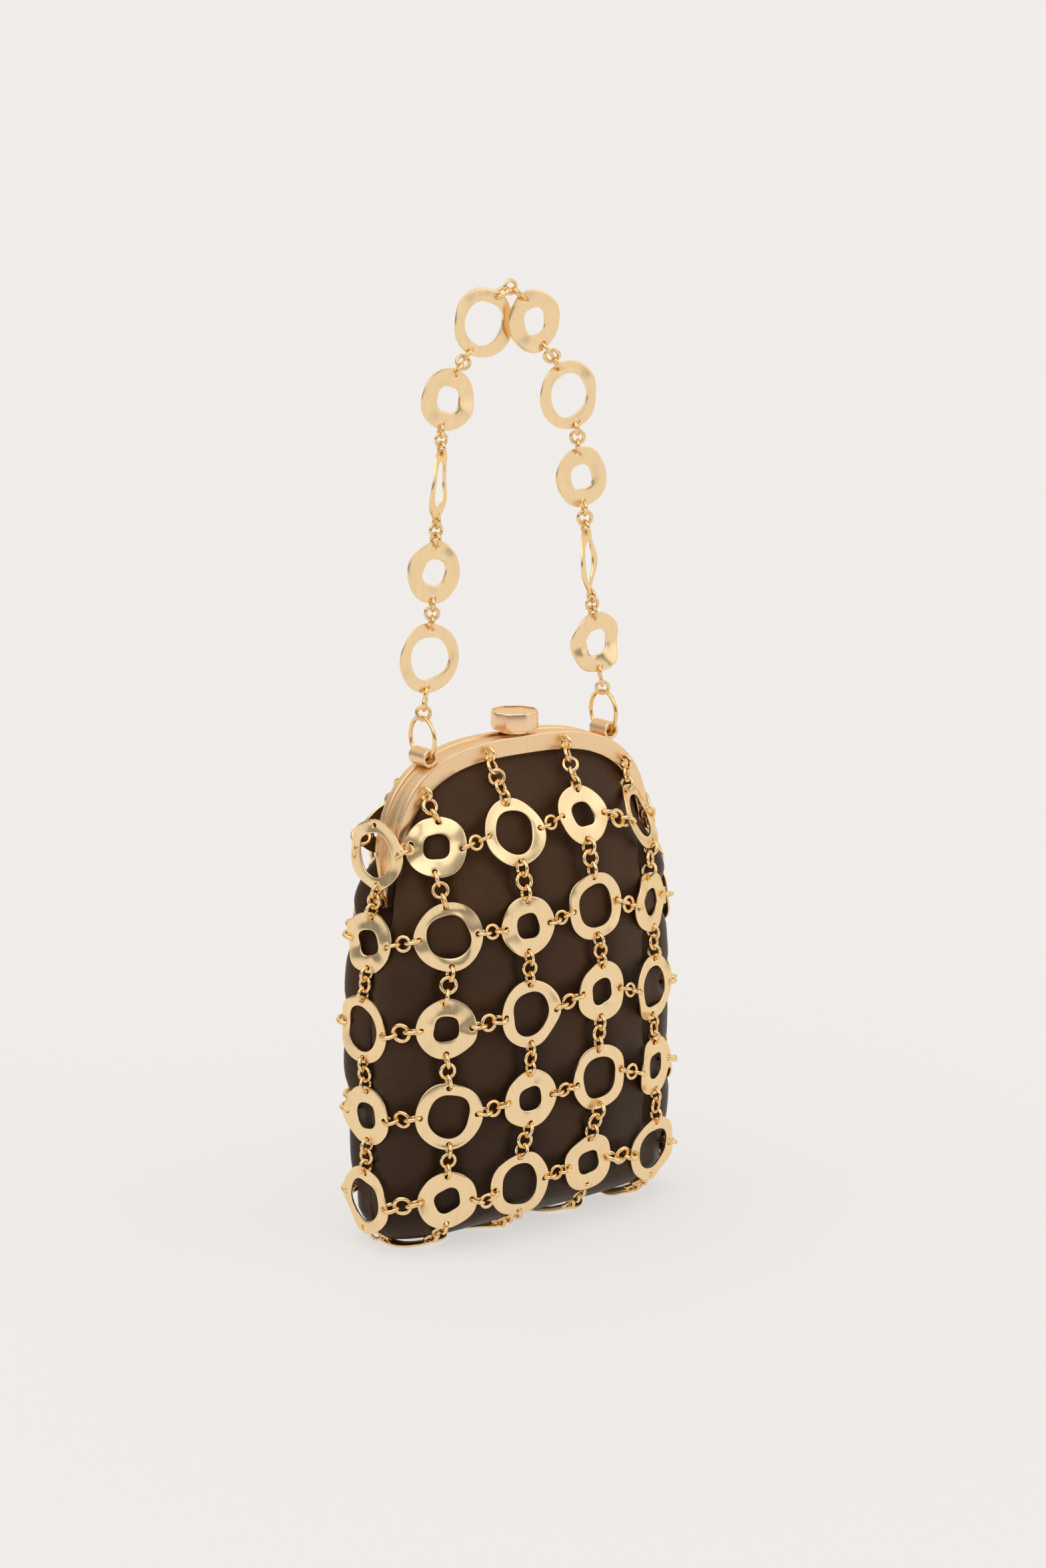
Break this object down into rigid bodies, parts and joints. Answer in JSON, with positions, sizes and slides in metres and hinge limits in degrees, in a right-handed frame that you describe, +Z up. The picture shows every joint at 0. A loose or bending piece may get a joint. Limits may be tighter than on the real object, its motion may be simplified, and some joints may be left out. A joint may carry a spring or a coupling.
{
  "type": "wrist bag",
  "caption": "Small framed wrist bag: leather pouch in a net of flat metal rings, with a hinged arched frame, a push-button clasp and a strap of linked rings.",
  "frame": {"origin": "on the floor under the middle of the bag", "axes": "+X to the bag's right seen from the front, the front faces -Y, +Z up"},
  "size_m": [0.1351, 0.0654, 0.3486],
  "materials": {
    "brushed_gold": "brushed",
    "polished_wire": "polished",
    "button_metal": "satin",
    "dark_leather": "satin"
  },
  "bodies": {
    "bag": {"leather_pouch": "dark_leather", "net_row_2": "brushed_gold", "net_row_3": "brushed_gold", "net_row_4": "brushed_gold", "net_row_5": "brushed_gold", "net_base": "brushed_gold", "side_ring_left": "brushed_gold", "side_ring_right": "brushed_gold", "hinge_rivet_left": "brushed_gold", "hinge_rivet_right": "brushed_gold", "drop_chain_front_1": "polished_wire", "drop_chain_front_2": "polished_wire", "drop_chain_front_3": "polished_wire", "drop_chain_front_4": "polished_wire", "drop_chain_rear_1": "polished_wire", "drop_chain_rear_2": "polished_wire", "drop_chain_rear_3": "polished_wire", "drop_chain_rear_4": "polished_wire"},
    "front_half": {"frame_front": "brushed_gold", "leather_front": "dark_leather", "net_front": "brushed_gold", "lug_left": "brushed_gold", "lug_right": "brushed_gold", "clasp_collar": "button_metal", "clasp_spring": "polished_wire"},
    "rear_half": {"frame_rear": "brushed_gold", "leather_rear": "dark_leather", "net_rear": "brushed_gold", "clasp_catch": "brushed_gold"},
    "left_loop": {"strap_loop_left": "polished_wire"},
    "right_loop": {"strap_loop_right": "polished_wire"},
    "button": {"clasp_button": "button_metal"},
    "strap": {"strap_links_left_1": "polished_wire", "strap_links_left_2": "polished_wire", "strap_links_left_3": "polished_wire", "strap_links_left_4": "polished_wire", "strap_links_left_5": "polished_wire", "strap_links_right_1": "polished_wire", "strap_links_right_2": "polished_wire", "strap_links_right_3": "polished_wire", "strap_links_right_4": "polished_wire", "strap_links_right_5": "polished_wire", "strap_top_links": "polished_wire"},
    "strap_ring_left_1_body": {"strap_ring_left_1": "brushed_gold"},
    "strap_ring_left_2_body": {"strap_ring_left_2": "brushed_gold"},
    "strap_ring_left_3_body": {"strap_ring_left_3": "brushed_gold"},
    "strap_ring_left_4_body": {"strap_ring_left_4": "brushed_gold"},
    "strap_ring_left_5_body": {"strap_ring_left_5": "brushed_gold"},
    "strap_ring_right_1_body": {"strap_ring_right_1": "brushed_gold"},
    "strap_ring_right_2_body": {"strap_ring_right_2": "brushed_gold"},
    "strap_ring_right_3_body": {"strap_ring_right_3": "brushed_gold"},
    "strap_ring_right_4_body": {"strap_ring_right_4": "brushed_gold"},
    "strap_ring_right_5_body": {"strap_ring_right_5": "brushed_gold"}
  },
  "joints": [
    {"name": "front_frame_hinge", "type": "hinge", "parent": "bag", "child": "front_half", "pos_m": [0, 0, 0.1296], "axis": [1, 0, 0], "range_deg": [0, 20], "deforming": ["drop_chain_front_1", "drop_chain_front_2", "drop_chain_front_3", "drop_chain_front_4"]},
    {"name": "rear_frame_hinge", "type": "hinge", "parent": "bag", "child": "rear_half", "pos_m": [0, 0, 0.1296], "axis": [-1, 0, 0], "range_deg": [0, 20], "deforming": ["drop_chain_rear_1", "drop_chain_rear_2", "drop_chain_rear_3", "drop_chain_rear_4"]},
    {"name": "clasp_press", "type": "slide", "parent": "front_half", "child": "button", "axis": [0, 0, 1], "range_m": [-0.0012, 0], "stiffness_N_per_m": 400, "springref_m": 0.0006, "deforming": ["clasp_spring"]},
    {"name": "left_loop_sway", "type": "hinge", "parent": "front_half", "child": "left_loop", "pos_m": [-0.0409, 0, 0.1808], "axis": [0, 1, 0], "range_deg": [-1.5, 1.5]},
    {"name": "right_loop_sway", "type": "hinge", "parent": "front_half", "child": "right_loop", "pos_m": [0.0409, 0, 0.1808], "axis": [0, 1, 0], "range_deg": [-1.5, 1.5]},
    {"name": "strap_swing", "type": "hinge", "parent": "front_half", "child": "strap", "pos_m": [0, 0, 0.1875], "axis": [1, 0, 0], "range_deg": [-105, 105]},
    {"name": "strap_ring_left_1_turn", "type": "hinge", "parent": "strap", "child": "strap_ring_left_1_body", "pos_m": [-0.03779, 0, 0.21634], "axis": [0.0976, 0, 0.9952], "range_deg": [-20, 20]},
    {"name": "strap_ring_left_2_turn", "type": "hinge", "parent": "strap", "child": "strap_ring_left_2_body", "pos_m": [-0.0355, 0, 0.24708], "axis": [0.0767, 0, 0.9971], "range_deg": [-20, 20]},
    {"name": "strap_ring_left_3_turn", "type": "hinge", "parent": "strap", "child": "strap_ring_left_3_body", "pos_m": [-0.03301, 0, 0.27824], "axis": [0.1063, 0, 0.9943], "range_deg": [-20, 20]},
    {"name": "strap_ring_left_4_turn", "type": "hinge", "parent": "strap", "child": "strap_ring_left_4_body", "pos_m": [-0.029, 0, 0.30813], "axis": [0.3437, 0, 0.9391], "range_deg": [-20, 20]},
    {"name": "strap_ring_left_5_turn", "type": "hinge", "parent": "strap", "child": "strap_ring_left_5_body", "pos_m": [-0.0126, 0.0015, 0.33393], "axis": [0.5, 0, 0.866], "range_deg": [0, 8]},
    {"name": "strap_ring_right_1_turn", "type": "hinge", "parent": "strap", "child": "strap_ring_right_1_body", "pos_m": [0.03738, 0, 0.21394], "axis": [-0.1409, 0, 0.99], "range_deg": [-20, 20]},
    {"name": "strap_ring_right_2_turn", "type": "hinge", "parent": "strap", "child": "strap_ring_right_2_body", "pos_m": [0.03362, 0, 0.24412], "axis": [-0.1167, 0, 0.9932], "range_deg": [-20, 20]},
    {"name": "strap_ring_right_3_turn", "type": "hinge", "parent": "strap", "child": "strap_ring_right_3_body", "pos_m": [0.0301, 0, 0.27584], "axis": [-0.1495, 0, 0.9888], "range_deg": [-20, 20]},
    {"name": "strap_ring_right_4_turn", "type": "hinge", "parent": "strap", "child": "strap_ring_right_4_body", "pos_m": [0.02421, 0, 0.30616], "axis": [-0.36, 0, 0.933], "range_deg": [-20, 20]},
    {"name": "strap_ring_right_5_turn", "type": "hinge", "parent": "strap", "child": "strap_ring_right_5_body", "pos_m": [0.00769, -0.0015, 0.33379], "axis": [-0.454, 0, 0.891], "range_deg": [0, 8]}
  ],
  "couplings": [
    {"joint": "rear_frame_hinge", "follows": "front_frame_hinge", "ratio": 1}
  ]
}
